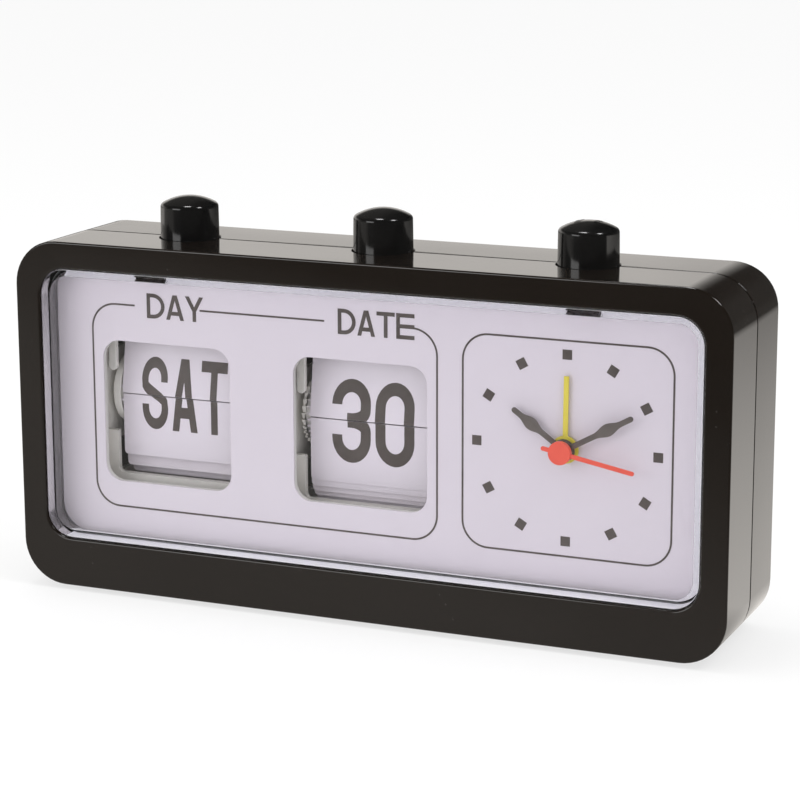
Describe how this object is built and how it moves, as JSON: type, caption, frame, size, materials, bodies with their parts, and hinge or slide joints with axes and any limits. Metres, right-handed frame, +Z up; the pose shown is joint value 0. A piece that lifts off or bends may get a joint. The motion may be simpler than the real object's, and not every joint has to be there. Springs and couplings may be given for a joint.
{
  "type": "desk clock with calendar",
  "caption": "Low rectangular desk clock: clear front, flip-leaf day and date windows set by push buttons, small alarm dial with four hands.",
  "frame": {"origin": "on the table, under the middle of the clock's bounding box", "axes": "+X to the right along the width as seen from the front, +Y from the front to the back, +Z up"},
  "size_m": [0.18, 0.0386, 0.097],
  "materials": {
    "case_black": "gloss black moulding",
    "button_black": "polished black",
    "rubber_feet": "matt",
    "steel": "plated",
    "clear_lens": "clear polished polystyrene",
    "dial_white": "printed card",
    "print_dark": "printed ink",
    "white_moulding": "moulded",
    "mechanism_ivory": "moulded acetal",
    "leaf_white": "printed sheet",
    "switch_black": "matt",
    "board_green": "circuit board",
    "copper_coil": "enamelled wire",
    "rotor_grey": "magnet",
    "brass_wheel": "moulded wheel",
    "brass_disc": "sounder disc",
    "cell_wrap": "plain cell wrap",
    "hand_red": "painted",
    "hand_dark": "painted",
    "hand_yellow": "painted"
  },
  "bodies": {
    "case": {"front_bezel": "case_black", "rear_cover": "case_black", "feet": "rubber_feet", "case_screws": "steel", "lens": "clear_lens", "dial_card": "dial_white", "dial_print": "print_dark", "dial_plate": "white_moulding", "plate_screws": "steel", "day_frame": "mechanism_ivory", "day_axle": "steel", "day_click": "steel", "day_leaves": "leaf_white", "day_spring": "steel", "date_frame": "mechanism_ivory", "date_axle": "steel", "date_click": "steel", "date_leaves": "leaf_white", "date_spring": "steel", "frame_screws": "steel", "alarm_spring": "steel", "alarm_switch": "switch_black", "movement_front": "mechanism_ivory", "movement_back": "mechanism_ivory", "movement_screws": "steel", "circuit_board": "board_green", "coil": "copper_coil", "stator": "steel", "buzzer": "brass_disc", "battery": "cell_wrap", "contact_plus": "steel", "contact_spring": "steel"},
    "day_button": {"day_button": "button_black", "day_pawl": "mechanism_ivory"},
    "day_drum": {"day_drum": "mechanism_ivory", "day_ratchet": "mechanism_ivory"},
    "day_flap": {"day_flap": "leaf_white"},
    "date_button": {"date_button": "button_black", "date_pawl": "mechanism_ivory"},
    "date_drum": {"date_drum": "mechanism_ivory", "date_ratchet": "mechanism_ivory"},
    "date_flap": {"date_flap": "leaf_white"},
    "alarm_button": {"alarm_button": "button_black"},
    "time_knob": {"time_knob": "case_black"},
    "minute": {"minute_hand": "hand_dark", "minute_wheel": "brass_wheel"},
    "motion_wheel": {"motion_wheel": "brass_wheel"},
    "hour": {"hour_hand": "hand_dark", "hour_wheel": "brass_wheel"},
    "rotor": {"rotor": "rotor_grey"},
    "fifth_wheel": {"fifth_wheel": "brass_wheel"},
    "second": {"second_hand": "hand_red", "second_wheel": "brass_wheel"},
    "alarm": {"alarm_hand": "hand_yellow", "alarm_wheel": "brass_wheel"},
    "alarm_knob": {"alarm_knob": "case_black"},
    "battery_door": {"battery_door": "case_black"}
  },
  "joints": [
    {"name": "day_press", "type": "slide", "parent": "case", "child": "day_button", "axis": [0, 0, -1], "range_m": [0, 0.0038], "stiffness_N_per_m": 350, "springref_m": -0.003, "deforming": ["day_spring"]},
    {"name": "day_drum_turn", "type": "hinge", "parent": "case", "child": "day_drum", "pos_m": [-0.0539, 0.0057, 0.0469], "axis": [1, 0, 0], "range_deg": [0, 25.72]},
    {"name": "day_flap_fall", "type": "hinge", "parent": "case", "child": "day_flap", "pos_m": [-0.0539, -0.00215, 0.04864], "axis": [1, 0, 0], "range_deg": [0, 185.1]},
    {"name": "date_press", "type": "slide", "parent": "case", "child": "date_button", "axis": [0, 0, -1], "range_m": [0, 0.00175], "stiffness_N_per_m": 350, "springref_m": -0.003, "deforming": ["date_spring"]},
    {"name": "date_drum_turn", "type": "hinge", "parent": "case", "child": "date_drum", "pos_m": [-0.0027, 0.0057, 0.0454], "axis": [1, 0, 0], "range_deg": [0, 11.62]},
    {"name": "date_flap_fall", "type": "hinge", "parent": "case", "child": "date_flap", "pos_m": [-0.0027, -0.00231, 0.04619], "axis": [1, 0, 0], "range_deg": [0, 184.1]},
    {"name": "alarm_press", "type": "slide", "parent": "case", "child": "alarm_button", "axis": [0, 0, -1], "range_m": [0, 0.003], "stiffness_N_per_m": 350, "springref_m": -0.003, "deforming": ["alarm_spring"]},
    {"name": "time_set", "type": "hinge", "parent": "case", "child": "time_knob", "pos_m": [0.03411, 0.0007, 0.05202], "axis": [0, 1, 0], "continuous": true},
    {"name": "minute_turn", "type": "hinge", "parent": "case", "child": "minute", "pos_m": [0.04885, 0.0007, 0.0458], "axis": [0, 1, 0], "continuous": true},
    {"name": "motion_turn", "type": "hinge", "parent": "case", "child": "motion_wheel", "pos_m": [0.04148, 0.0007, 0.04891], "axis": [0, 1, 0], "continuous": true},
    {"name": "hour_turn", "type": "hinge", "parent": "case", "child": "hour", "pos_m": [0.04885, 0.0007, 0.0458], "axis": [0, 1, 0], "continuous": true},
    {"name": "rotor_turn", "type": "hinge", "parent": "case", "child": "rotor", "pos_m": [0.04644, 0.0007, 0.0387], "axis": [0, 1, 0], "continuous": true},
    {"name": "fifth_turn", "type": "hinge", "parent": "case", "child": "fifth_wheel", "pos_m": [0.05235, 0.0007, 0.03974], "axis": [0, 1, 0], "continuous": true},
    {"name": "second_turn", "type": "hinge", "parent": "case", "child": "second", "pos_m": [0.04885, 0.0007, 0.0458], "axis": [0, 1, 0], "continuous": true},
    {"name": "alarm_set", "type": "hinge", "parent": "case", "child": "alarm", "pos_m": [0.04885, 0.0007, 0.0458], "axis": [0, 1, 0], "continuous": true},
    {"name": "alarm_knob_turn", "type": "hinge", "parent": "case", "child": "alarm_knob", "pos_m": [0.05507, 0.0007, 0.05202], "axis": [0, 1, 0], "continuous": true},
    {"name": "battery_door_pull", "type": "slide", "parent": "case", "child": "battery_door", "axis": [0, 1, 0], "range_m": [0, 0.02]}
  ],
  "couplings": [
    {"joint": "day_drum_turn", "follows": "day_press", "rad_per_m": 118.11},
    {"joint": "day_flap_fall", "follows": "day_press", "rad_per_m": 849.7},
    {"joint": "date_drum_turn", "follows": "date_press", "rad_per_m": 115.82},
    {"joint": "date_flap_fall", "follows": "date_press", "rad_per_m": 1835.1},
    {"joint": "minute_turn", "follows": "time_set", "ratio": 1},
    {"joint": "motion_turn", "follows": "time_set", "ratio": -0.33333},
    {"joint": "hour_turn", "follows": "time_set", "ratio": 0.083333},
    {"joint": "fifth_turn", "follows": "rotor_turn", "ratio": -0.2},
    {"joint": "second_turn", "follows": "rotor_turn", "ratio": 0.033333},
    {"joint": "alarm_knob_turn", "follows": "alarm_set", "ratio": -3.4}
  ]
}
